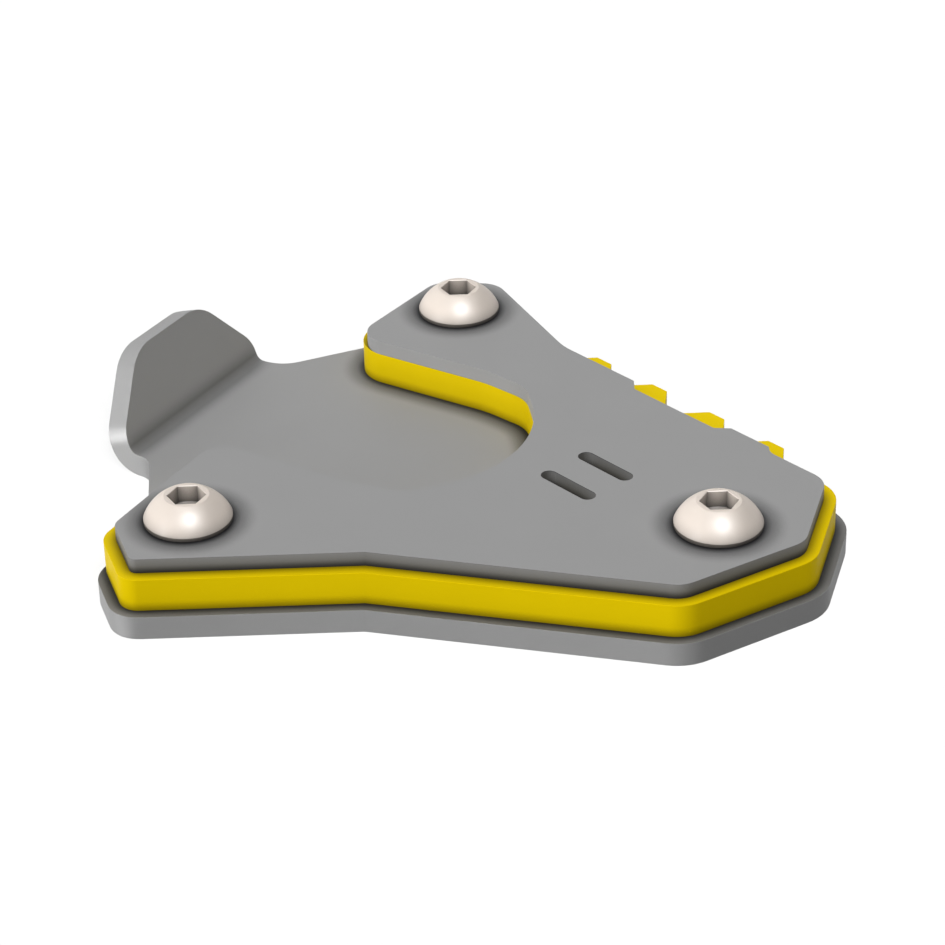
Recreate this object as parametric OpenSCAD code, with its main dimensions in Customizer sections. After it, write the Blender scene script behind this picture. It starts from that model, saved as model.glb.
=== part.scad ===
// Kickstand foot enlarger: a base plate with a bent tab, a toothed spacer and a top plate,
// held together by three button-head screws round a pocket for the stand's own foot.
// The origin is under the middle of the part, on the face that meets the ground.

/* [Layers] */
// Thickness of the base plate's sheet
base_t = 3; // [2:0.1:5]
// Thickness of the spacer
spacer_t = 4.2; // [3:0.1:8]
// Thickness of the top plate
top_t = 1.9; // [1.2:0.1:4]
// How far the spacer stands out past the top plate
spacer_step = 1.5; // [0.5:0.1:2]
// How far the base plate stands out past the top plate
base_step = 2.9; // [2:0.1:4]

/* [Outline of the top plate] */
// Distance from the centre to the front side
front_reach = 28.6; // [27.5:0.1:31]
// Distance from the centre to the sloping side right of the front
slope_reach = 30.9; // [30:0.1:33]
// Direction that the sloping side faces
slope_faces = -104.5; // [-108:0.5:-101]
// How far the lower right side cuts back the corner between its neighbours
lower_right_cut = 8.1; // [6:0.1:10]
// Direction that the lower right side faces
lower_right_faces = -60.5; // [-65:0.5:-56]
// Distance from the centre to the right end
right_reach = 44.85; // [43:0.05:49]
// Direction that the right end faces
right_faces = -17.25; // [-22:0.25:-13]
// Distance from the centre to the neck that leads back to the back screw
neck_reach = 19.2; // [18.2:0.1:20.4]
// Direction that the neck faces
neck_faces = 23.7; // [21:0.1:27]
// Distance from the centre to the back end
back_reach = 37.45; // [36:0.05:42]
// Direction that the back end faces
back_faces = 82.4; // [78:0.1:87]
// Distance from the centre to the back left side
back_left_reach = 25.75; // [24.5:0.05:28]
// Direction that the back left side faces
back_left_faces = 143.1; // [140:0.1:147]
// Distance from the centre to the left end
left_reach = 25.73; // [25:0.01:28]
// Direction that the left end faces
left_faces = 149.3; // [146:0.1:152]
// How far the lower left side cuts back the corner between its neighbours
lower_left_cut = 6.8; // [5:0.1:9]
// Direction that the lower left side faces
lower_left_faces = 197.2; // [193:0.1:201]
// Radius of the plate's corners
corner_r = 3.4; // [1.5:0.1:4.5]
// Radius of the blunt left corner
left_r = 2; // [0.5:0.1:4]
// Radius of the front left corner
front_left_r = 1; // [0.5:0.1:4]
// Radius of the hollow between the toothed side and the neck
neck_r = 10; // [5:0.5:16]

/* [Pocket for the stand's foot] */
// Direction in which the foot points, seen from above
foot_points = -32.6; // [-35:0.1:-30]
// Left or right place of the crease where the tab rises, at the pocket's middle
crease_x = -34.44; // [-35.4:0.01:-33.4]
// Front or back place of the same point
crease_y = 18.31; // [17.3:0.01:19.3]
// Width of the pocket
pocket_w = 31.3; // [28:0.1:32.5]
// Length of the pocket from the crease to its round end
pocket_len = 47.2; // [43:0.1:49]
// Radius of the pocket's round end
nose_r = 17; // [15.5:0.1:20]
// How far round from its tip the round end runs to each side
nose_turn = 39; // [30:1:44]
// How far each side of the pocket draws in before the round end
nose_taper = 1.25; // [0.4:0.05:2]
// Length over which the pocket's sides draw in
taper_len = 6.8; // [5:0.1:12]
// Radius of the faint turn where the sides start to draw in
taper_r = 15; // [5:1:20]
// Radius of the shoulders beside the round end
shoulder_r = 5; // [1:0.1:6]

/* [Toothed side] */
// Distance from the centre to the toothed side of the top plate
toothed_reach = 21.1; // [20.2:0.1:22]
// Direction that the toothed side faces
toothed_faces = 40.9; // [39:0.1:43]
// Number of teeth on the spacer
tooth_count = 4; // [2:1:4]
// Distance from one tooth to the next
tooth_pitch = 9.95; // [8.5:0.05:10.5]
// Place of the backmost tooth along the toothed side
tooth_first = 2.1; // [1:0.1:3]
// Width of a tooth's tip
tooth_tip_w = 2.55; // [1.5:0.05:3.5]
// Height of a tooth
tooth_h = 2.85; // [1.5:0.05:3.2]
// Slope of a tooth's flanks away from its middle
tooth_flank = 40; // [20:1:42]
// How far the top plate's two lands stand out
land_out = 0.9; // [0.7:0.1:1.4]
// How far the recess between the lands goes in
recess_in = 0.55; // [0.2:0.05:1.5]
// Slope of the flanks of the lands and the recess
land_flank = 47; // [40:1:55]
// Place of the recess's back end along the toothed side
recess_back = -7.4; // [-9:0.05:-5]
// Place of the recess's front end
recess_front = -22.6; // [-24:0.1:-19]
// Place of the front land's front end
land_front = -30.1; // [-31:0.1:-28]
// Radius of the hollow at that end's foot
land_foot_r = 2; // [0.3:0.1:2]
// Radius of the small corners on the teeth, lands and recess
small_r = 0.35; // [0.1:0.05:0.5]

/* [Bent tab] */
// Width of the tab at its bend
tab_w = 28; // [26:0.5:29]
// How far the tab's middle lies in front of the pocket's middle
tab_shift = 0.9; // [-1:0.1:2]
// Width of the tab's top edge
tab_top_w = 13.5; // [9:0.5:18]
// Height of the tab along its own face, from the crease
tab_h = 11.2; // [9:0.1:16]
// Height at which the tab's sides start to slope in
tab_side_h = 2.7; // [2:0.1:5]
// Angle through which the tab is bent up
bend_angle = 71.2; // [50:0.1:90]
// Inner radius of the bend
bend_r = 1.2; // [0.8:0.1:1.8]
// Radius of the tab's corners
tab_corner_r = 6; // [1:0.1:7]
// Radius of the hollows where the tab leaves the base plate
tab_root_r = 5; // [1:0.1:6]
// Distance from the centre to the base plate's side in front of the tab
base_left_reach = 39.9; // [38.5:0.1:40.6]
// Direction that this side faces
base_left_faces = 183; // [178:0.5:187]
// Distance from the centre to the base plate's side behind the tab
base_back_reach = 34.33; // [33.5:0.01:35.8]
// Direction that this side faces
base_back_faces = 111.1; // [109:0.1:116]

/* [Screws] */
// How far in from the front side the front left screw stands
front_left_from_front = 8.45; // [7:0.05:10]
// How far in from the lower left side the same screw stands
front_left_from_side = 8.5; // [7:0.05:10]
// How far in from the lower right side the front right screw stands
front_right_from_side = 8.45; // [7:0.05:11]
// How far in from the right end the same screw stands
front_right_from_end = 10.45; // [8:0.05:13]
// How far in from the neck's side the back screw stands
back_from_neck = 7.65; // [6.5:0.05:9]
// How far in from the back end the same screw stands
back_from_end = 7.7; // [6.5:0.05:9]
// Thread size of the screws
thread_d = 6; // [5:0.5:6]
// Height at which the screws end above the ground
screw_end = 1.1; // [0.3:0.1:1.5]
// Diameter of a screw's head
head_d = 10.5; // [9.5:0.1:11.5]
// Height of a screw's head
head_h = 3.3; // [2.8:0.1:4]
// Height of the upright rim round the head's foot
head_rim_h = 0.35; // [0.1:0.05:0.8]
// Diameter of the head's flat top
head_flat_d = 5.3; // [5:0.1:6]
// Width of the hexagon socket across its flats
socket_w = 4; // [3:0.1:4.2]
// Depth of the hexagon socket
socket_depth = 2.1; // [1.5:0.1:2.4]
// How much wider than the thread the holes in the top plate and spacer are
hole_clearance = 0.6; // [0.3:0.1:1]
// How much wider than the thread the hole in the base plate is
thread_clearance = 0.1; // [0.05:0.05:0.2]
// Size of the chamfer on the screws' ends and round the base plate's holes
thread_chamfer = 0.5; // [0.2:0.1:0.8]

/* [Slots in the top plate] */
// Length of a slot from end to end
slot_len = 8.5; // [5:0.1:11]
// Width of a slot
slot_w = 2; // [1:0.1:3]
// Distance between the two slots' middle lines
slot_gap = 6.2; // [4:0.1:8]
// Distance from the centre to the line halfway between the slots
slot_reach = 1.6; // [1:0.05:3]
// Place of the slots' middles along the toothed side
slot_along = -19; // [-22:0.1:-17]

/* [Hidden] */
$fn = 96;
// Length by which a cut runs past the face that it opens
past = 1;
// Height by which an arc stands past the sides that it touches
arc_lap = 0.0005;

// Heights of the faces where the layers meet, and of the top face
spacer_z = base_t;
top_z = spacer_z + spacer_t;
face_z = top_z + top_t;

// Length of the screws under the head
screw_len = face_z - screw_end;
// Height of the middle of the head's dome above the head's foot, and the dome's radius
dome_z = (head_rim_h + head_h) / 2
    - (pow(head_d, 2) - pow(head_flat_d, 2)) / (8 * (head_h - head_rim_h));
dome_r = norm([head_d / 2, head_rim_h - dome_z]);
// Steepness of the drill point under the socket
point_angle = 30;

function toward(angle) = [cos(angle), sin(angle)];
function unit(v) = v / norm(v);
function behind(list, i) = list[(i + len(list) - 1) % len(list)];
function ahead(list, i) = list[(i + 1) % len(list)];
function turn_of(a, b) = atan2(a[0] * b[1] - a[1] * b[0], a * b);

// A side of a plate is [direction it faces, distance from the centre, radius of the corner at its
// end, how much of a wider layer's step moves it out], and sides follow each other counter-clockwise.
// The point where two sides meet in a layer that stands out by a step
function meeting(a, b, step) =
    let (u = toward(a[0]), v = toward(b[0]), p = a[1] + a[3] * step, q = b[1] + b[3] * step)
    [p * v[1] - q * u[1], q * u[0] - p * v[0]] / (u[0] * v[1] - u[1] * v[0]);
// The radius there: an outer corner grows with the step and a hollow shrinks
function radius(a, b, step) =
    a[2] == 0 ? 0 :
    turn_of(toward(a[0]), toward(b[0])) > 0 ? a[2] + max(a[3], b[3]) * step :
    max(a[2] - min(a[3], b[3]) * step, 0);
// The corners between the sides of a list, as [x, y, radius]
function corners(sides, step) = [for (i = [0:len(sides) - 2])
    let (p = meeting(sides[i], sides[i + 1], step)) [p[0], p[1], radius(sides[i], sides[i + 1], step)]];

// A side of the top plate that cuts back the corner where two others would meet
function cutting(a, b, faces, cut, r) = [faces, meeting(a, b, 0) * toward(faces) - cut, r, 1];
// The point that lies a margin inside each of two sides
function inside(a, a_margin, b, b_margin) =
    meeting([a[0], a[1] - a_margin, 0, 0], [b[0], b[1] - b_margin, 0, 0], 0);

// A corner of the pocket: how far along the foot from the crease, how far to its left, and its radius
function in_pocket(along, left, r) =
    let (p = [crease_x, crease_y] + along * toward(foot_points) + left * toward(foot_points + 90))
    [p[0], p[1], r];
// A corner on the toothed side: its place along that side, its distance from the centre, and its radius
function on_teeth(along, reach, r) =
    let (p = reach * toward(toothed_faces) + along * toward(toothed_faces + 90)) [p[0], p[1], r];

// The pocket's straight sides, behind and in front of the foot
pocket_middle = [crease_x, crease_y] * toward(foot_points + 90);
pocket_back = [foot_points - 90, -pocket_middle - pocket_w / 2, 0, 0];
pocket_front = [foot_points + 90, pocket_middle - pocket_w / 2, corner_r, 0];
// The straight lines that leave the round end meet before it, and each meets a shoulder
nose_tip = pocket_len - nose_r + nose_r / cos(nose_turn);
shoulder_left = pocket_w / 2 - nose_taper;
shoulder_along = nose_tip - shoulder_left * tan(nose_turn);
pocket_corners = [
    in_pocket(shoulder_along - taper_len, pocket_w / 2, taper_r),
    in_pocket(shoulder_along, shoulder_left, shoulder_r),
    in_pocket(nose_tip, 0, nose_r),
    in_pocket(shoulder_along, -shoulder_left, shoulder_r),
    in_pocket(shoulder_along - taper_len, -pocket_w / 2, taper_r)];

// The sides that the layers share, from the left end round to the back left
left_end = [left_faces, left_reach, left_r, 1];
front_side = [-90, front_reach, 0, 1];
slope_side = [slope_faces, slope_reach, corner_r, 1];
right_end = [right_faces, right_reach, corner_r, 1];
neck_side = [neck_faces, neck_reach, corner_r, 1];
back_side = [back_faces, back_reach, corner_r, 1];
lower_left = cutting(left_end, front_side, lower_left_faces, lower_left_cut, front_left_r);
lower_right = cutting(slope_side, right_end, lower_right_faces, lower_right_cut, corner_r);
front_run = [lower_left, front_side, slope_side, lower_right, right_end];
toothed_side = [toothed_faces, toothed_reach, neck_r, 1];
back_run = [neck_side, back_side, [back_left_faces, back_left_reach, corner_r, 1]];

// Places of the screws
front_left_place = inside(front_side, front_left_from_front, lower_left, front_left_from_side);
front_right_place = inside(lower_right, front_right_from_side, right_end, front_right_from_end);
back_place = inside(neck_side, back_from_neck, back_side, back_from_end);
screw_places = [front_left_place, front_right_place, back_place];

// The lands and the recess of the top plate, from front to back
land_reach = toothed_reach + land_out;
recess_reach = toothed_reach - recess_in;
land_side = [toothed_faces, land_reach, neck_r, 1];
land_run = (land_reach - toothed_reach) * tan(land_flank) / 2;
recess_run = (land_reach - recess_reach) * tan(land_flank) / 2;
land_corners = [
    on_teeth(land_front - land_run, toothed_reach, land_foot_r),
    on_teeth(land_front + land_run, land_reach, small_r),
    on_teeth(recess_front - recess_run, land_reach, small_r),
    on_teeth(recess_front + recess_run, recess_reach, small_r),
    on_teeth(recess_back - recess_run, recess_reach, small_r),
    on_teeth(recess_back + recess_run, land_reach, small_r)];

// The spacer's teeth, from front to back; the last one's back flank runs down to the neck
root_reach = toothed_reach + spacer_step;
tip_reach = root_reach + tooth_h;
half_tip = tooth_tip_w / 2;
half_root = half_tip + tooth_h * tan(tooth_flank);
tooth_corners = [for (i = [tooth_count - 1:-1:0]) let (middle = tooth_first - i * tooth_pitch) each [
    on_teeth(middle - half_root, root_reach, small_r),
    on_teeth(middle - half_tip, tip_reach, small_r),
    on_teeth(middle + half_tip, tip_reach, small_r),
    if (i > 0) on_teeth(middle + half_root, root_reach, small_r)]];
last_flank = [toothed_faces + 90 - tooth_flank,
    tip_reach * sin(tooth_flank) + (tooth_first + half_tip) * cos(tooth_flank), small_r, 0];

top_corners = concat(
    corners(concat([pocket_front, left_end], front_run, [toothed_side]), 0), land_corners,
    corners(concat([land_side], back_run, [pocket_back]), 0), pocket_corners);
spacer_corners = concat(
    corners(concat([pocket_front, left_end], front_run, [toothed_side]), spacer_step), tooth_corners,
    corners(concat([last_flank], back_run, [pocket_back]), spacer_step), pocket_corners);

// The base plate and its tab are laid out in the tab's own frame: the origin is on the crease at the
// tab's middle, and X points outwards, away from the pocket.
tab_foot = [crease_x, crease_y] - tab_shift * toward(foot_points + 90);
out_angle = foot_points + 180;
function from_tab(side) = [side[0] - out_angle, side[1] - tab_foot * toward(side[0]), side[2], side[3]];
function rounded(side, r) = [side[0], side[1], r, side[3]];

// Length of the bend's tangents, from the crease to where the inner bend begins
bend_run = bend_r * tan(bend_angle / 2);
// Straight stretch that is left between the bend and the rounding on either side of it
bend_rest = 0.3;
// Shares of that stretch after which the flat plate and the bent sheet end inside each other
edge_share = 0.5;
foot_share = 0.8;
// How far the plate stands out past each side of the tab at its root
root_step = 0.02;

// The plate's edge at the bend, and its sides beside the tab
bend_edge = [0, -bend_run - bend_rest * edge_share, 0, 0];
tab_back = [-90, tab_w / 2 + root_step, 0, 0];
tab_front = [90, tab_w / 2 + root_step, 0, 0];
base_back = from_tab([base_back_faces, base_back_reach, 0, 0]);
base_left = from_tab([base_left_faces, base_left_reach, left_r, 0]);
// The base plate's left end lies flush with the spacer's
base_end = [left_faces, left_reach + spacer_step, left_r, 0];
// The radius of the hollow between the base plate and the tab, which ends before the bend
function root_radius(side, tab_side) =
    let (room = -bend_run - bend_rest - meeting(side, tab_side, 0)[0],
        turn = abs(turn_of(toward(side[0]), toward(tab_side[0]))))
    min(tab_root_r, room / tan(turn / 2));
base_sides = concat([base_left],
    [for (side = concat([base_end], front_run, [toothed_side], back_run)) from_tab(side)], [
    rounded(base_back, root_radius(base_back, tab_back)),
    tab_back,
    bend_edge,
    rounded(tab_front, root_radius(base_left, tab_front)),
    base_left]);

// The section of the bent sheet, as [distance out from the crease, height above the plate, radius]
tab_reach = tab_h + past;
face_end = tab_reach * toward(bend_angle);
back_end = face_end + base_t * toward(bend_angle - 90);
bend_foot = -bend_run - bend_rest * foot_share;
bend_corners = [
    [bend_foot, -base_t, 0],
    [base_t * tan(bend_angle / 2), -base_t, bend_r + base_t],
    [back_end[0], back_end[1], 0],
    [face_end[0], face_end[1], 0],
    [0, 0, bend_r],
    [bend_foot, 0, 0]];

// The tab's own outline, as [height along its face from the crease, place along the crease, radius]
tab_slope = atan2((tab_w - tab_top_w) / 2, tab_h - tab_side_h);
tab_side_r = min(tab_corner_r, (tab_side_h - bend_run - bend_rest) / tan(tab_slope / 2));
tab_low = -2 * (bend_r + base_t);
tab_corners = [
    [tab_side_h, tab_w / 2, tab_side_r],
    [tab_low, tab_w / 2, 0],
    [tab_low, -tab_w / 2, 0],
    [tab_side_h, -tab_w / 2, tab_side_r],
    [tab_h, -tab_top_w / 2, tab_corner_r],
    [tab_h, tab_top_w / 2, tab_corner_r]];

// Fills an outline whose corners, given as [x, y, radius] and counter-clockwise, are true arcs
module rounded_outline(corners) {
    n = len(corners);
    at = [for (c = corners) [c[0], c[1]]];
    way = [for (i = [0:n - 1]) unit(ahead(at, i) - at[i])];
    turn = [for (i = [0:n - 1]) turn_of(behind(way, i), way[i])];
    run = [for (i = [0:n - 1]) corners[i][2] * abs(tan(turn[i] / 2))];
    first = [for (i = [0:n - 1]) at[i] - run[i] * behind(way, i)];
    last = [for (i = [0:n - 1]) at[i] + run[i] * way[i]];
    difference() {
        union() {
            polygon([for (i = [0:n - 1]) each run[i] > 0 ? [first[i], last[i]] : [at[i]]]);
            for (i = [0:n - 1]) if (turn[i] > 0 && run[i] > 0)
                arc_piece(first[i], last[i], at[i], corners[i][2]);
        }
        for (i = [0:n - 1]) if (turn[i] < 0 && run[i] > 0)
            arc_piece(first[i], last[i], at[i], corners[i][2]);
    }
}

// The piece of a circle that rounds a corner between its tangent points a and b. It reaches a little
// inside its chord and past the sides that it touches, so that it joins them cleanly.
module arc_piece(a, b, corner, r) {
    middle = (a + b) / 2;
    out = unit(corner - middle);
    chord_at = sqrt(r * r - pow(norm(b - a) / 2, 2));
    cut_at = chord_at - (r - chord_at) / 2;
    translate(middle - out * chord_at) intersection() {
        circle(r + arc_lap);
        rotate(atan2(out[1], out[0])) translate([cut_at, -r]) square(2 * r);
    }
}

// Cuts the three screw holes through a layer from one height to another
module screw_holes(d, bottom, top) {
    for (place = screw_places) translate([place[0], place[1], bottom - past])
        cylinder(d = d, h = top - bottom + 2 * past);
}

// The sheet that carries the rest: it meets the ground, and its tab is bent up behind the stand's foot
module base_plate() {
    bore_d = thread_d + thread_clearance;
    color([0.5, 0.5, 0.5]) difference() {
        translate([tab_foot[0], tab_foot[1], 0]) rotate([0, 0, out_angle]) {
            linear_extrude(base_t) rounded_outline(corners(base_sides, base_step));
            translate([0, 0, base_t]) tab();
        }
        screw_holes(bore_d, 0, base_t);
        for (place = screw_places) translate([place[0], place[1], 0]) {
            hole_chamfer(bore_d);
            translate([0, 0, base_t]) mirror([0, 0, 1]) hole_chamfer(bore_d);
        }
    }
}

// The chamfer round a threaded hole whose face lies at height 0, with the metal above it
module hole_chamfer(bore_d) {
    translate([0, 0, -past]) cylinder(
        d1 = bore_d + 2 * (thread_chamfer + past), d2 = bore_d, h = thread_chamfer + past);
}

// The tab and its bend: the bent sheet's section, carried along the crease and cut to the tab's outline
module tab() {
    intersection() {
        rotate([90, 0, 0]) linear_extrude(tab_w + 2 * past, center = true) rounded_outline(bend_corners);
        rotate([0, -bend_angle, 0]) linear_extrude(2 * (tab_h + base_t), center = true)
            rounded_outline(tab_corners);
    }
}

// The layer between the plates, whose teeth grip soft ground
module spacer() {
    color([0.89, 0.79, 0.02]) difference() {
        translate([0, 0, spacer_z]) linear_extrude(spacer_t) rounded_outline(spacer_corners);
        screw_holes(thread_d + hole_clearance, spacer_z, top_z);
    }
}

// The thin plate on top, with two slots
module top_plate() {
    color([0.6, 0.6, 0.6]) difference() {
        translate([0, 0, top_z]) linear_extrude(top_t) rounded_outline(top_corners);
        screw_holes(thread_d + hole_clearance, top_z, face_z);
        for (side = [-1, 1]) slot(slot_reach + side * slot_gap / 2);
    }
}

// A round-ended slot that runs along the toothed side at a distance from the centre
module slot(reach) {
    half = (slot_len - slot_w) / 2;
    rotate([0, 0, toothed_faces]) translate([reach, slot_along, top_z - past]) {
        translate([-slot_w / 2, -half, 0]) cube([slot_w, 2 * half, top_t + 2 * past]);
        for (end = [-half, half]) translate([0, end, 0]) cylinder(d = slot_w, h = top_t + 2 * past);
    }
}

// A button-head screw with a hexagon socket, standing at a place on the top face
module screw(place) {
    socket_r = socket_w / 2 / cos(30);
    point_h = socket_w / 2 * tan(point_angle);
    color([0.93, 0.9, 0.87]) translate([place[0], place[1], face_z]) difference() {
        union() {
            rotate_extrude() head_section();
            translate([0, 0, -screw_len]) cylinder(
                d1 = thread_d - 2 * thread_chamfer, d2 = thread_d, h = thread_chamfer);
            translate([0, 0, thread_chamfer - screw_len])
                cylinder(d = thread_d, h = screw_len - thread_chamfer);
        }
        translate([0, 0, head_h - socket_depth]) cylinder(r = socket_r, h = socket_depth + past, $fn = 6);
        translate([0, 0, head_h - socket_depth - point_h]) cylinder(r1 = 0, r2 = socket_w / 2, h = point_h);
    }
}

// Half of the head's section: a dome cut flat on top, with an upright rim at its foot
module head_section() {
    intersection() {
        translate([0, dome_z]) circle(dome_r);
        square([head_d / 2, head_h]);
    }
}

module front_left_screw() {
    screw(front_left_place);
}

module front_right_screw() {
    screw(front_right_place);
}

module back_screw() {
    screw(back_place);
}

base_plate();
spacer();
top_plate();
front_left_screw();
front_right_screw();
back_screw();
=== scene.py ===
"""Dresses a kickstand foot enlarger: two steel plates and a yellow toothed spacer, held by three screws.

Every length below is in millimetres and is multiplied by MM where it meets Blender's metres. The layers
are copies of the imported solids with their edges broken; the screws are surfaces of their own, with a
thread and a hexagon socket.
"""

import math
from dataclasses import dataclass

import bmesh
import bpy
import numpy as np
from mathutils import Matrix, Vector


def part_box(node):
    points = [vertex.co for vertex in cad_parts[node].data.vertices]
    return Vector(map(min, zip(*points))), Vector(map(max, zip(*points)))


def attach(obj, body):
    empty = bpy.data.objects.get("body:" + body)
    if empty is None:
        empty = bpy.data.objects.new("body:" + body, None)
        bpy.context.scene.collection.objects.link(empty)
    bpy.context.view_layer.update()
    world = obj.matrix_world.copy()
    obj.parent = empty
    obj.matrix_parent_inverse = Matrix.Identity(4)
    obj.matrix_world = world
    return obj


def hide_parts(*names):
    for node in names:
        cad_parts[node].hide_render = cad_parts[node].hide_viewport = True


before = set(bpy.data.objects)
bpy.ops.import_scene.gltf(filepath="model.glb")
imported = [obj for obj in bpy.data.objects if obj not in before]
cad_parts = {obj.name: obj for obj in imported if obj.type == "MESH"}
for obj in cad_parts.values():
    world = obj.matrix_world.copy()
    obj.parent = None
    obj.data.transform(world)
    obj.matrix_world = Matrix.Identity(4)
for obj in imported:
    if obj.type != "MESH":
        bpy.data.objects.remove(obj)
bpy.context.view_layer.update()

MM = 0.001

# Taken from the frame: the radius of a screw's head, and the height of the face on which the heads sit
HEAD_R = (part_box("back_screw")[1].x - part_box("back_screw")[0].x) / 2 / MM
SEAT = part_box("top_plate")[1].z / MM

# Layers: how far their sharp edges are broken, and the closeness at which their points are merged. The
# base plate has slivers of faces beside its tab, so its points are merged from further off.
EDGE_ROUND = 0.03
EDGE_SEGMENTS = 2
MERGE_WITHIN = 0.03
BASE_MERGE_WITHIN = 0.13
FLAT_WITHIN = math.radians(0.5)
SHARP_FROM = math.radians(35)
SCREW_SHARP_FROM = math.radians(15)

# Screws. The thread's wave is stretched and then cut off, which leaves a flat at its root and its crest.
THREAD_D = 6.0
THREAD_PITCH = 1.0
THREAD_DEPTH = 0.61
THREAD_STRETCH = 1.25
THREAD_CREST = 0.06
THREAD_CHAMFER = 0.5
NECK_LEN = 0.8
HEAD_H = 3.3
HEAD_RIM_H = 0.52
HEAD_FLAT_D = 5.3
RIM_ROUND = 0.1
RIM_ROUND_MIDDLE = 0.3 * RIM_ROUND
SOCKET_W = 4.0
SOCKET_DEPTH = 2.1
SOCKET_POINT_SLOPE = math.radians(30)
MOUTH_ROUND = 0.06
STEPS_ROUND = 144
STEPS_PER_TURN = 14
STEPS_DOME = 22

# Painted shade under the heads: the heights above the seat between which it fades in, its reach and its
# power, first on the top plate and then on the heads
PLATE_PAINTED_SHADE = ((-0.1, -0.02), 3.1, 4.2)
HEAD_PAINTED_SHADE = ((0.8, 0.45), 1.5, 1.6)

# The top plate's openness to itself between which its painted shade fades in, so that its slots are spared
SLOT_TO_EDGE = (0.3, 0.95)

# Noise: the middle half of its values, and the least share of light that the steel's fine specks leave
NOISE_MIDDLE = (0.25, 0.75)
SPECK_LEAST = 0.985
OPENNESS_SAMPLES = 16

# Camera, from the photograph: its focal length in widths of the sensor, where it looks and from where.
# Blender takes the sensor's width in millimetres too.
FOCAL = 3.083651
SENSOR = 36.0
CLIP_START = 10.0
LOOK_AT = (0.03, -11.75, 9.1)
LOOK_AZIMUTH = math.radians(-0.83)
LOOK_DOWN = math.radians(31.0346)
ROLL = math.radians(-1.45836)
DISTANCE = 348.951

# Light: the level of the sky; then each lamp's name and level, the azimuth and elevation from which it
# shines and its spread in degrees, and whether it casts a shadow
SKY = 0.08
LAMPS = [
    ("side_lamp", 0.84, -155.0, 17.5, 16.0, False),
    ("front_lamp", 0.37, -72.0, 52.0, 20.0, True),
    ("top_lamp", 0.3, 0.0, 90.0, 60.0, False),
]

# Low lamps round the part, without gloss, lift the faces that the others miss: level at each azimuth
FILL_LEVELS = {-135.0: 0.08, -45.0: 0.13, 45.0: 0.06, 115.0: 0.3}
FILL_ELEVATION = 10.0
FILL_SPREAD = 60.0

# Two lamps show in gloss alone, as the bright edge of the tab and the highlights on the screws. Their
# levels are far above the others', but they light no colour. The edge's lamp stands just below the
# horizon, where it hardly meets the faces that look up.
EDGE_GLINT = ("edge_glint", 11.5, -155.0, -1.0, 16.0, False)
HEAD_GLINT = ("head_glint", 6.5, -76.0, 60.0, 26.0, True)

# Floor: half its side, its grey for the light that it throws back, and its share in what is seen of it
FLOOR_REACH = 4000.0
FLOOR_GREY = 0.05
SHADOW_SHARE = 0.25


@dataclass
class Finish:
    """How a material looks. Colours are linear, and each painted shade near joints is (reach, power)."""

    light: tuple  # colour in the open
    # dark, wide and close give the painted shade: the colour of the shade painted deep in a joint, and how
    # it spreads towards the joint
    dark: tuple  # colour deep in a joint
    wide: tuple  # the soft darkening on the way to a joint
    close: tuple  # the darkening at the joint itself
    cloud: tuple  # size, detail and least share of the faint clouds
    grain: tuple  # size and detail of the fine grain
    rough: tuple  # range of the roughness
    gloss: float  # specular level
    depth: float  # height of the grain


STEEL = Finish(
    light=(0.2855, 0.2855, 0.2855),
    dark=(0.008, 0.008, 0.009),
    wide=(3.2, 2.6),
    close=(1.0, 2.2),
    cloud=(9.0, 3.0, 0.975),
    grain=(0.16, 2.0),
    rough=(0.49, 0.55),
    gloss=0.12,
    depth=0.003,
)
YELLOW = Finish(
    light=(0.78, 0.57, 0.001),
    dark=(0.02, 0.012, 0.002),
    wide=(9.0, 0.75),
    close=(1.3, 1.3),
    cloud=(6.0, 2.0, 0.97),
    grain=(0.5, 1.0),
    rough=(0.42, 0.5),
    gloss=0.03,
    depth=0.004,
)
NICKEL = Finish(
    light=(0.665, 0.592, 0.53),
    dark=(0.03, 0.027, 0.024),
    wide=(3.0, 2.2),
    close=(0.8, 1.8),
    cloud=(2.5, 3.0, 0.96),
    grain=(0.12, 2.0),
    rough=(0.42, 0.46),
    gloss=0.2,
    depth=0.0002,
)


def grid_mesh(name, rows, bottom, top):
    """A closed surface from rows of points that go round it, each row above the last.

    Point j of row i is rows[i, j]. Each small face joins points j and j + 1 of rows i and i + 1, the
    last point joins the first, and fans close the surface at the points bottom and top.
    """
    count, around = rows.shape[:2]
    points = np.vstack([rows.reshape(-1, 3), bottom, top]) * MM
    i, j = np.meshgrid(np.arange(count - 1), np.arange(around), indexing="ij")
    k = (j + 1) % around
    quads = np.stack([i * around + j, i * around + k, (i + 1) * around + k, (i + 1) * around + j], -1)
    j = np.arange(around)
    k = (j + 1) % around
    low = np.stack([np.full(around, count * around), k, j], -1)
    last = (count - 1) * around
    high = np.stack([last + j, last + k, np.full(around, count * around + 1)], -1)
    mesh = bpy.data.meshes.new(name)
    mesh.from_pydata(points.tolist(), [], quads.reshape(-1, 4).tolist() + low.tolist() + high.tolist())
    return mesh


def piece(name, mesh, material, replaced, sharp_from):
    """An object for a finished mesh, which rides on the part and stands for its solid."""
    mesh.polygons.foreach_set("use_smooth", np.ones(len(mesh.polygons), bool))
    mesh.set_sharp_from_angle(angle=sharp_from)
    mesh.materials.append(material)
    made = bpy.data.objects.new(name, mesh)
    bpy.context.scene.collection.objects.link(made)
    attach(made, "root")
    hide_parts(replaced)
    return made


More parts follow.
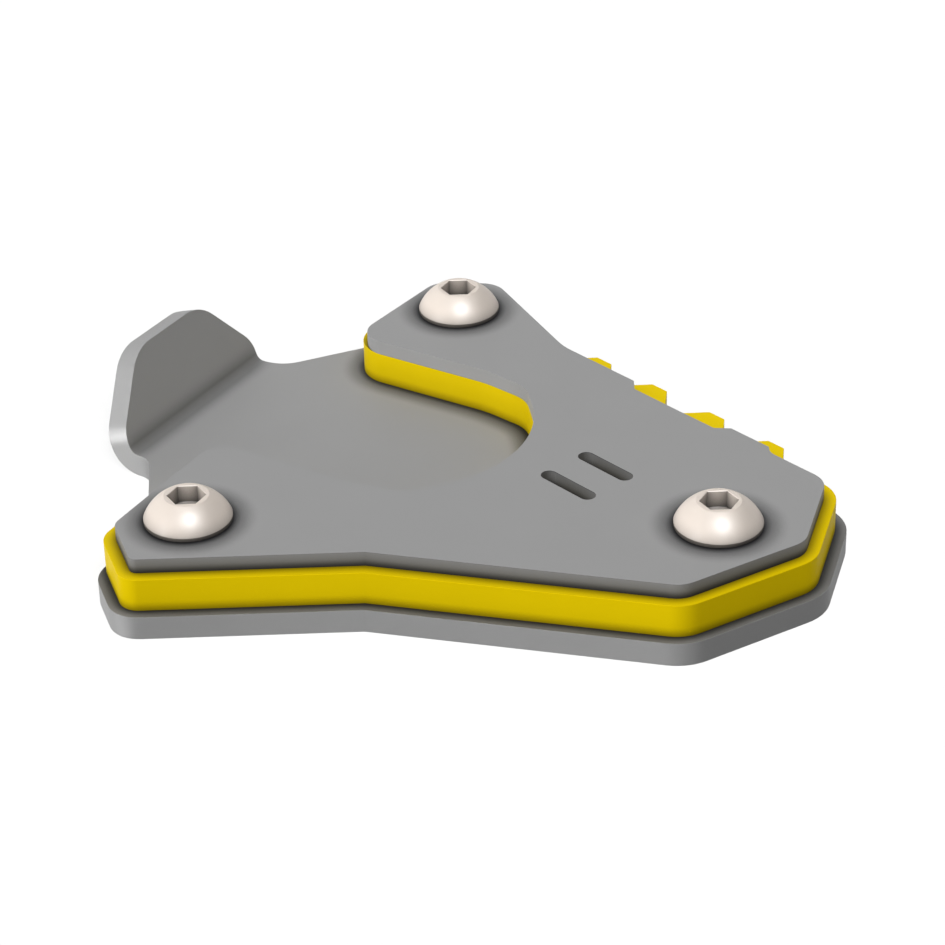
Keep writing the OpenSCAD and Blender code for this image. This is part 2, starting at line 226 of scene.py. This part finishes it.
def layer(node, material, merge_within):
    """A layer of the part: its solid with triangles merged into flat faces, and its edges broken."""
    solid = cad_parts[node].data
    points = np.empty(len(solid.vertices) * 3, np.float32)
    solid.vertices.foreach_get("co", points)
    corners = np.empty(len(solid.loops), np.int32)
    solid.loops.foreach_get("vertex_index", corners)
    mesh = bpy.data.meshes.new(node + "_finished")
    mesh.from_pydata(points.reshape(-1, 3).tolist(), [], corners.reshape(-1, 3).tolist())
    work = bmesh.new()
    work.from_mesh(mesh)
    bmesh.ops.remove_doubles(work, verts=work.verts, dist=merge_within * MM)
    bmesh.ops.dissolve_limit(work, angle_limit=FLAT_WITHIN, verts=work.verts, edges=work.edges)
    work.to_mesh(mesh)
    work.free()
    made = piece(node + "_finished", mesh, material, node, SHARP_FROM)
    bevel = made.modifiers.new("broken_edges", "BEVEL")
    bevel.width = EDGE_ROUND * MM
    bevel.segments = EDGE_SEGMENTS
    bevel.limit_method = "ANGLE"
    bevel.angle_limit = SHARP_FROM
    bevel.use_clamp_overlap = False
    flat = made.modifiers.new("flat_faces", "WEIGHTED_NORMAL")
    flat.keep_sharp = True
    return made


def shank_rows(turn, low, high):
    """Rows of the threaded shank between two heights, as (height, radius) at each angle.

    The radius falls from the crest by the thread's depth times a triangle wave of height / pitch less
    angle / full turn. The wave fades out below the head, and a chamfer cuts it at the screw's end.
    """
    count = int((high - low) / THREAD_PITCH * STEPS_PER_TURN)
    z = np.linspace(low, high, count + 1)[:, None] + 0 * turn
    phase = (z / THREAD_PITCH - turn / (2 * math.pi)) % 1
    wave = np.clip(THREAD_STRETCH * (1 - np.abs(2 * phase - 1)) - THREAD_CREST, 0, 1)
    fade = np.clip((high - z) / NECK_LEN, 0, 1)
    r = THREAD_D / 2 - THREAD_DEPTH * wave * fade
    return z, np.minimum(r, THREAD_D / 2 - THREAD_CHAMFER + (z - low))


def head_rows(turn, seat):
    """Rows of the head from its seat, over its dome and down into its socket, as (height, radius).

    The dome's section is the arc of a circle through the rim and the edge of the flat top. The socket's
    radius at an angle is half its width over the cosine of the angle from the nearest flat.
    """
    top = seat + HEAD_H
    socket_z = top - SOCKET_DEPTH
    flat_r = HEAD_FLAT_D / 2
    dome_z = (HEAD_R**2 - flat_r**2) / (2 * (HEAD_RIM_H - HEAD_H)) + (HEAD_RIM_H + HEAD_H) / 2
    dome_r = math.hypot(HEAD_R, HEAD_RIM_H - dome_z)
    first = math.atan2(HEAD_RIM_H - dome_z, HEAD_R)
    last = math.atan2(HEAD_H - dome_z, flat_r)
    dome = np.linspace(first, last, STEPS_DOME)[1:]
    hexagon = SOCKET_W / 2 / np.cos((turn % (math.pi / 3)) - math.pi / 6)
    rings = [
        (seat, THREAD_D / 2),
        (seat, HEAD_R - RIM_ROUND),
        (seat + RIM_ROUND_MIDDLE, HEAD_R - RIM_ROUND_MIDDLE),
        (seat + RIM_ROUND, HEAD_R),
        (seat + HEAD_RIM_H, HEAD_R),
        *((seat + dome_z + dome_r * math.sin(angle), dome_r * math.cos(angle)) for angle in dome),
        (top, flat_r - MOUTH_ROUND),
        (top, hexagon + MOUTH_ROUND),
        (top - MOUTH_ROUND, hexagon),
        (socket_z, hexagon),
        (socket_z, SOCKET_W / 2),
    ]
    z, r = ([value + 0 * turn for value in values] for values in zip(*rings))
    return np.array(z), np.array(r)


def screw_mesh(name, centre, low, seat):
    """A button-head screw, as one surface from the middle of its end round to the point of its socket."""
    turn = np.arange(STEPS_ROUND) / STEPS_ROUND * 2 * math.pi
    z, r = (np.vstack(both) for both in zip(shank_rows(turn, low, seat), head_rows(turn, seat)))
    rows = np.stack([centre[0] + r * np.cos(turn), centre[1] + r * np.sin(turn), z], -1)
    point_z = seat + HEAD_H - SOCKET_DEPTH - SOCKET_W / 2 * math.tan(SOCKET_POINT_SLOPE)
    return grid_mesh(name, rows, [[*centre, low]], [[*centre, point_z]])


def screw(node, material):
    """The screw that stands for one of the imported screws, at that screw's own place."""
    low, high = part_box(node)
    centre = ((low.x + high.x) / 2 / MM, (low.y + high.y) / 2 / MM)
    mesh = screw_mesh(node + "_finished", centre, low.z / MM, high.z / MM - HEAD_H)
    return piece(node + "_finished", mesh, material, node, SCREW_SHARP_FROM)


def feed(tree, value, socket):
    """Gives a socket a number, or what another node puts out."""
    if isinstance(value, float):
        socket.default_value = value
    else:
        tree.links.new(value, socket)


class Nodes:
    """The node tree of a material, with short calls for the nodes that all of them use."""

    def __init__(self, name, finish):
        self.material = bpy.data.materials.new(name)
        self.material.use_nodes = True
        self.tree = self.material.node_tree
        self.shader = self.tree.nodes["Principled BSDF"]
        self.place = self.add("ShaderNodeTexCoord").outputs["Object"]
        self.finish = finish
        *cloud, least = finish.cloud
        self.cloud = self.spread(self.noise(*cloud), least, 1.0)
        self.grain = self.noise(*finish.grain)

    def add(self, kind, **values):
        node = self.tree.nodes.new(kind)
        for key, value in values.items():
            setattr(node, key, value)
        return node

    def join(self, source, target):
        self.tree.links.new(source, target)

    def noise(self, size, detail):
        """Noise whose patches are about size millimetres across, from 0 to 1."""
        node = self.add("ShaderNodeTexNoise")
        node.inputs["Scale"].default_value = 1 / (size * MM)
        node.inputs["Detail"].default_value = detail
        self.join(self.place, node.inputs["Vector"])
        return node.outputs["Fac"]

    def mapped(self, source, first, last, start, end):
        """A number that goes from start to end as the source goes from first to last."""
        node = self.add("ShaderNodeMapRange")
        node.inputs["From Min"].default_value = first
        node.inputs["From Max"].default_value = last
        node.inputs["To Min"].default_value = start
        node.inputs["To Max"].default_value = end
        self.join(source, node.inputs["Value"])
        return node.outputs["Result"]

    def spread(self, source, low, high):
        """The middle half of a noise, stretched between two values."""
        return self.mapped(source, *NOISE_MIDDLE, low, high)

    def product(self, first, second):
        node = self.add("ShaderNodeMath", operation="MULTIPLY")
        self.join(first, node.inputs[0])
        self.join(second, node.inputs[1])
        return node.outputs["Value"]

    def openness(self, reach, power, own=False):
        """How open a point is within reach, to all pieces or its own: 0 deep in a joint, 1 in the open."""
        node = self.add("ShaderNodeAmbientOcclusion", samples=OPENNESS_SAMPLES, only_local=own)
        node.inputs["Distance"].default_value = reach * MM
        raised = self.add("ShaderNodeMath", operation="POWER")
        self.join(node.outputs["AO"], raised.inputs[0])
        feed(self.tree, power, raised.inputs[1])
        return raised.outputs["Value"]

    def painted_contact_shade(self, wide, close):
        """Openness near a joint, for painted shade: a wide soft darkening times a close one at the joint
        itself.
        """
        return self.product(self.openness(*wide), self.openness(*close))

    def painted_seat_shade(self, fade, reach, power):
        """Openness for the shade painted near the heads' seat, which fades in between two heights above
        it.
        """
        split = self.add("ShaderNodeSeparateXYZ")
        self.join(self.place, split.inputs[0])
        first, last = ((SEAT + height) * MM for height in fade)
        return self.openness(reach, self.mapped(split.outputs["Z"], first, last, 0.0, power))

    def finished(self, share):
        """The material, with shade painted into its colour: dark in the joints, light in the open as share
        grows.
        """
        mix = self.add("ShaderNodeMix", data_type="RGBA")
        # Among the sockets that this node has for each type, these are the ones for colours
        first, second, result = mix.inputs[6], mix.inputs[7], mix.outputs[2]
        first.default_value = (*self.finish.dark, 1)
        second.default_value = (*self.finish.light, 1)
        self.join(share, mix.inputs[0])
        self.join(result, self.shader.inputs["Base Color"])
        self.join(self.spread(self.grain, *self.finish.rough), self.shader.inputs["Roughness"])
        self.shader.inputs["Specular IOR Level"].default_value = self.finish.gloss
        bump = self.add("ShaderNodeBump")
        bump.inputs["Strength"].default_value = 1.0
        bump.inputs["Distance"].default_value = self.finish.depth * MM
        self.join(self.grain, bump.inputs["Height"])
        self.join(bump.outputs["Normal"], self.shader.inputs["Normal"])
        return self.material


def steel(name, top=False):
    """Grey blasted steel: faint clouds a few millimetres wide, and a fine even grain.

    Its colour has painted shade near joints, more of it on the top plate near the screws' heads, and the
    top plate's narrow slots are spared it.
    """
    n = Nodes(name, STEEL)
    plain = n.product(n.cloud, n.spread(n.grain, SPECK_LEAST, 1.0))
    # Reach and power of the shade painted near joints
    joints = (STEEL.wide, STEEL.close)
    if not top:
        return n.finished(n.product(plain, n.painted_contact_shade(*joints)))
    own = n.openness(STEEL.wide[0], 1.0, own=True)
    spared = [(reach, n.mapped(own, *SLOT_TO_EDGE, 0.0, power)) for reach, power in joints]
    return n.finished(n.product(n.product(plain, n.painted_contact_shade(*spared)), n.painted_seat_shade(*PLATE_PAINTED_SHADE)))


def yellow():
    """Yellow powder coat: a soft orange-peel surface with hardly any change of colour of its own, and
    painted shade near joints.
    """
    n = Nodes("yellow_coat", YELLOW)
    return n.finished(n.product(n.cloud, n.painted_contact_shade(YELLOW.wide, YELLOW.close)))


def nickel():
    """Warm nickel plate on the screws, lightly tumbled, with painted shade near joints and at the foot of
    the heads.
    """
    n = Nodes("nickel_plate", NICKEL)
    share = n.product(n.cloud, n.painted_contact_shade(NICKEL.wide, NICKEL.close))
    return n.finished(n.product(share, n.painted_seat_shade(*HEAD_PAINTED_SHADE)))


def aim(azimuth, elevation):
    """The unit vector towards a direction given by its angles in degrees."""
    a, e = math.radians(azimuth), math.radians(elevation)
    return Vector((math.cos(a) * math.cos(e), math.sin(a) * math.cos(e), math.sin(e)))


def lamp(name, level, azimuth, elevation, spread, shadow):
    """A far soft lamp. At level 1 it lights a face turned to it so that a colour shows as written."""
    data = bpy.data.lights.new(name, "SUN")
    data.energy = level * math.pi
    data.angle = math.radians(spread)
    data.use_shadow = shadow
    made = bpy.data.objects.new(name, data)
    made.rotation_mode = "QUATERNION"
    made.rotation_quaternion = aim(azimuth, elevation).to_track_quat("Z", "Y")
    made.location = aim(azimuth, elevation)
    bpy.context.scene.collection.objects.link(made)
    return made


def glint(settings, pieces):
    """A lamp that shows only in the gloss of some pieces, and adds nothing to their colour."""
    made = lamp(*settings)
    made.visible_diffuse = False
    lit = bpy.data.collections.new(made.name + "_pieces")
    for item in pieces:
        lit.objects.link(item)
    made.light_linking.receiver_collection = lit


def seen(tree):
    """1 for what the camera, a gloss or a clear piece sees, 0 for the light that falls on the part."""
    path = tree.nodes.new("ShaderNodeLightPath")
    result = path.outputs["Is Camera Ray"]
    for name in ("Is Glossy Ray", "Is Transmission Ray"):
        most = tree.nodes.new("ShaderNodeMath")
        most.operation = "MAXIMUM"
        tree.links.new(result, most.inputs[0])
        tree.links.new(path.outputs[name], most.inputs[1])
        result = most.outputs["Value"]
    return result


def mixed(tree, share, first, second):
    """A shader that goes from first to second as share goes from 0 to 1."""
    node = tree.nodes.new("ShaderNodeMixShader")
    feed(tree, share, node.inputs[0])
    tree.links.new(first, node.inputs[1])
    tree.links.new(second, node.inputs[2])
    return node.outputs[0]


def sky():
    """A white surround whose light on the part is soft and even."""
    world = bpy.data.worlds.new("studio")
    bpy.context.scene.world = world
    world.use_nodes = True
    world.cycles.sampling_method = "NONE"
    tree = world.node_tree
    tree.nodes.clear()
    backs = []
    for level in (SKY, 1.0):
        node = tree.nodes.new("ShaderNodeBackground")
        node.inputs["Color"].default_value = (1, 1, 1, 1)
        node.inputs["Strength"].default_value = level
        backs.append(node.outputs[0])
    out = tree.nodes.new("ShaderNodeOutputWorld")
    tree.links.new(mixed(tree, seen(tree), *backs), out.inputs["Surface"])


def floor():
    """A plain white floor that shows a faint shadow and throws little light back up."""
    corners = [(x, y, 0) for x, y in ((-1, -1), (1, -1), (1, 1), (-1, 1))]
    mesh = bpy.data.meshes.new("floor")
    mesh.from_pydata([Vector(corner) * FLOOR_REACH * MM for corner in corners], [], [(0, 1, 2, 3)])
    material = bpy.data.materials.new("floor")
    material.use_nodes = True
    tree = material.node_tree
    tree.nodes.clear()
    shades = []
    for grey in (FLOOR_GREY, 1.0):
        node = tree.nodes.new("ShaderNodeBsdfDiffuse")
        node.inputs["Color"].default_value = (grey, grey, grey, 1)
        shades.append(node.outputs[0])
    clear = tree.nodes.new("ShaderNodeBsdfTransparent").outputs[0]
    shown = mixed(tree, SHADOW_SHARE, clear, shades[1])
    out = tree.nodes.new("ShaderNodeOutputMaterial")
    tree.links.new(mixed(tree, seen(tree), shades[0], shown), out.inputs["Surface"])
    mesh.materials.append(material)
    made = bpy.data.objects.new("floor", mesh)
    made.visible_shadow = False
    bpy.context.scene.collection.objects.link(made)


def camera():
    """The camera, turned and placed as the photograph was taken."""
    right = Vector((math.cos(LOOK_AZIMUTH), math.sin(LOOK_AZIMUTH), 0))
    ahead = Vector((-math.sin(LOOK_AZIMUTH), math.cos(LOOK_AZIMUTH), 0))
    forward = math.cos(LOOK_DOWN) * ahead - Vector((0, 0, math.sin(LOOK_DOWN)))
    up = math.sin(LOOK_DOWN) * ahead + Vector((0, 0, math.cos(LOOK_DOWN)))
    turned_right = math.cos(ROLL) * right + math.sin(ROLL) * up
    turned_up = math.cos(ROLL) * up - math.sin(ROLL) * right
    data = bpy.data.cameras.new("camera")
    data.sensor_width = SENSOR
    data.lens = FOCAL * SENSOR
    data.clip_start = CLIP_START * MM
    made = bpy.data.objects.new("camera", data)
    turn = Matrix((turned_right, turned_up, -forward)).transposed().to_4x4()
    made.matrix_world = Matrix.Translation((Vector(LOOK_AT) - forward * DISTANCE) * MM) @ turn
    bpy.context.scene.collection.objects.link(made)
    bpy.context.scene.camera = made


base = layer("base_plate", steel("blasted_steel"), BASE_MERGE_WITHIN)
layer("spacer", yellow(), MERGE_WITHIN)
layer("top_plate", steel("top_steel", top=True), MERGE_WITHIN)
plating = nickel()
screws = [screw(name, plating) for name in ("front_left_screw", "front_right_screw", "back_screw")]

sky()
glint(EDGE_GLINT, [base])
glint(HEAD_GLINT, screws)
for settings in LAMPS:
    lamp(*settings)
for azimuth, level in FILL_LEVELS.items():
    lamp("fill_lamp", level, azimuth, FILL_ELEVATION, FILL_SPREAD, False).visible_glossy = False
floor()
camera()

bpy.context.scene.view_settings.view_transform = "Standard"
